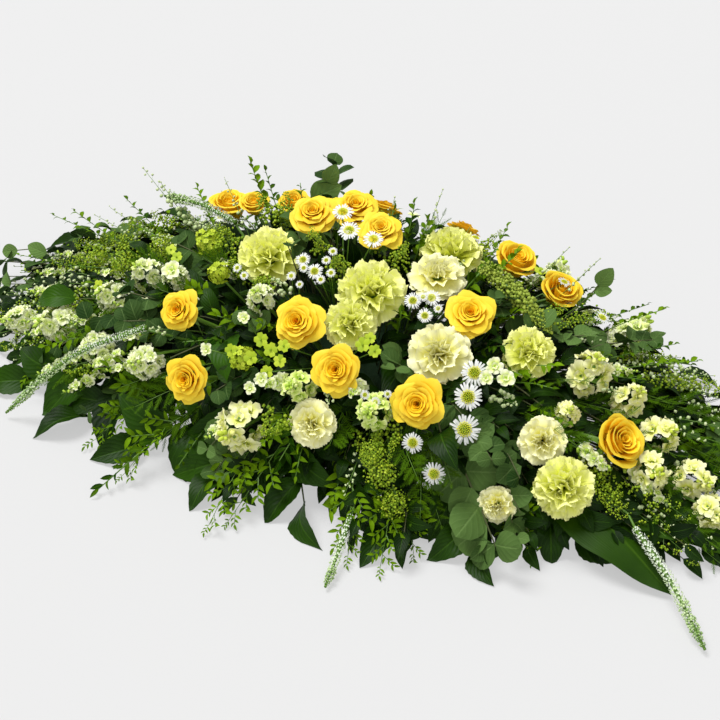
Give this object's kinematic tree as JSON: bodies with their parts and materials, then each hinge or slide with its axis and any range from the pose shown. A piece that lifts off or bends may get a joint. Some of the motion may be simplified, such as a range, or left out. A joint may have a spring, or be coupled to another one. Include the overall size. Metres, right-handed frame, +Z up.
{
  "type": "casket spray",
  "caption": "Long mounded spray of cut roses, carnations, stocks, daisies and mixed foliage in wet foam on a shallow fibre tray, tapering to both ends.",
  "frame": {"origin": "middle of the tray's flat underside, on the surface it rests on", "axes": "+X along the spray, towards the end nearer the camera in the picture; -Y the front; +Z up"},
  "size_m": [1.2378, 0.7084, 0.2908],
  "materials": {
    "rose_petal": "soft",
    "lime_petal": "soft",
    "cream_petal": "soft",
    "stock_petal": "soft",
    "daisy_ray": "soft",
    "lime_floret": "matte",
    "spike_floret": "matte",
    "dark_leaf": "glossy",
    "grey_leaf": "waxy matte",
    "ruscus_leaf": "satin",
    "moulded_fibre": "rough",
    "wet_foam": "matte"
  },
  "bodies": {
    "root": {"rose_front_1": "rose_petal", "rose_front_2": "rose_petal", "rose_front_3": "rose_petal", "rose_front_4": "rose_petal", "rose_front_5": "rose_petal", "rose_front_6": "rose_petal", "rose_front_7": "rose_petal", "rose_spray_top": "rose_petal", "rose_spray_left": "rose_petal", "rose_spray_right": "rose_petal", "rose_spray_back": "rose_petal", "carnation_lime_1": "lime_petal", "carnation_lime_2": "lime_petal", "carnation_lime_3": "lime_petal", "carnation_lime_4": "lime_petal", "carnation_lime_5": "lime_petal", "carnation_lime_6": "lime_petal", "carnation_cream_1": "cream_petal", "carnation_cream_2": "cream_petal", "carnation_cream_3": "cream_petal", "stock_left_1": "stock_petal", "stock_left_2": "stock_petal", "stock_left_3": "stock_petal", "snapdragon_front_1": "stock_petal", "snapdragon_front_2": "stock_petal", "stock_right_1": "stock_petal", "stock_right_2": "stock_petal", "stock_right_3": "stock_petal", "stock_middle": "stock_petal", "stock_back": "stock_petal", "daisy_top": "daisy_ray", "daisy_middle": "daisy_ray", "daisy_right": "daisy_ray", "snowball": "lime_floret", "mantle_front": "lime_floret", "mantle_left": "lime_floret", "veronica_right": "spike_floret", "veronica_front": "spike_floret", "veronica_left": "spike_floret", "veronica_top": "spike_floret", "goldenrod_right": "spike_floret", "salal_front_1": "dark_leaf", "salal_front_2": "dark_leaf", "salal_front_3": "dark_leaf", "salal_back_1": "dark_leaf", "salal_back_2": "dark_leaf", "salal_back_3": "dark_leaf", "salal_high_1": "dark_leaf", "salal_high_2": "dark_leaf", "salal_high_3": "dark_leaf", "aspidistra": "dark_leaf", "eucalyptus_top": "grey_leaf", "eucalyptus_front": "grey_leaf", "eucalyptus_left": "grey_leaf", "eucalyptus_right": "grey_leaf", "ruscus_front": "ruscus_leaf", "ruscus_back": "ruscus_leaf", "tray": "moulded_fibre", "foam_left": "wet_foam", "foam_right": "wet_foam"}
  },
  "joints": []
}
